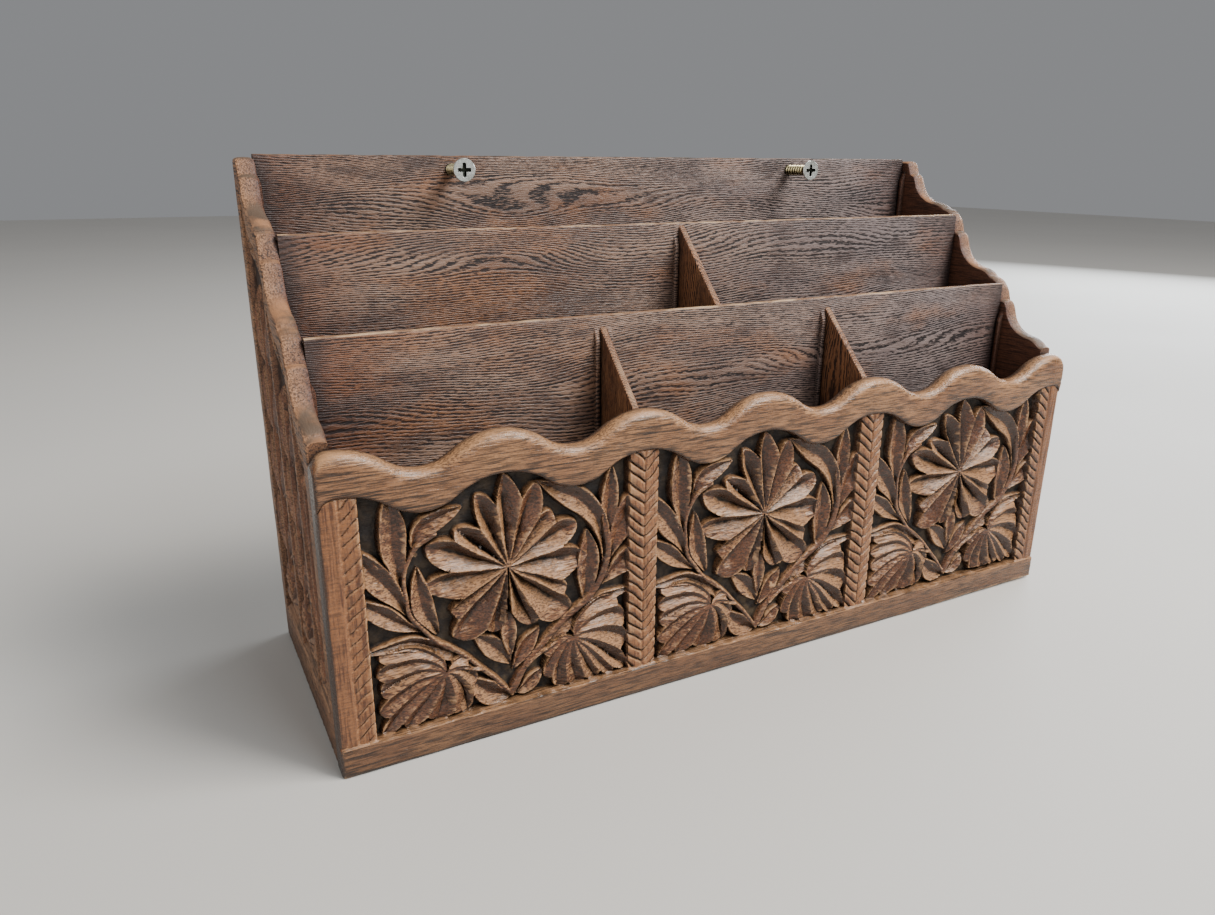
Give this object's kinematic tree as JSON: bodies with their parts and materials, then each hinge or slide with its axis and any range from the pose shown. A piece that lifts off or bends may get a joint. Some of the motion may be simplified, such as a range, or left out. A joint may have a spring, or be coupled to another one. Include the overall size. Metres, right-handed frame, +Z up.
{
  "type": "desk organizer",
  "caption": "Tiered letter and desk organizer with a carved floral front, scalloped stepped sides, a raised back board and upright dividers.",
  "frame": {"origin": "centre of the footprint, on the surface that the organizer stands on", "axes": "+X to the right along the width, +Y from the carved front to the back board, +Z up"},
  "size_m": [0.305, 0.101, 0.179],
  "materials": {
    "carved_panel": "wood-look moulding, warm mid brown stain rubbed over a dark glaze, satin",
    "carved_side": "wood-look moulding, dark brown stain with worn tan edges, satin",
    "grained_board": "wood-look board with embossed horizontal grain, brown with grey-blue sheen, satin",
    "cross_board": "wood-look board with upright streaks and a tan cut edge, satin",
    "screw_steel": "zinc plated, bright, yellowish on the thread"
  },
  "bodies": {
    "carcass": {"front_panel": "carved_panel", "left_side_panel": "carved_side", "right_side_panel": "carved_side", "back_board": "grained_board", "base_board": "grained_board", "rear_long_divider": "grained_board", "front_long_divider": "grained_board", "middle_cross_divider": "cross_board", "front_left_cross_divider": "cross_board", "front_right_cross_divider": "cross_board"},
    "left_screw": {"left_hanging_screw": "screw_steel"},
    "right_screw": {"right_hanging_screw": "screw_steel"}
  },
  "joints": [
    {"name": "left_screw_slide", "type": "slide", "parent": "carcass", "child": "left_screw", "axis": [0, 1, 0], "range_m": [-0.003, 0.0123]},
    {"name": "right_screw_slide", "type": "slide", "parent": "carcass", "child": "right_screw", "axis": [0, 1, 0], "range_m": [-0.003, 0.0123]}
  ]
}
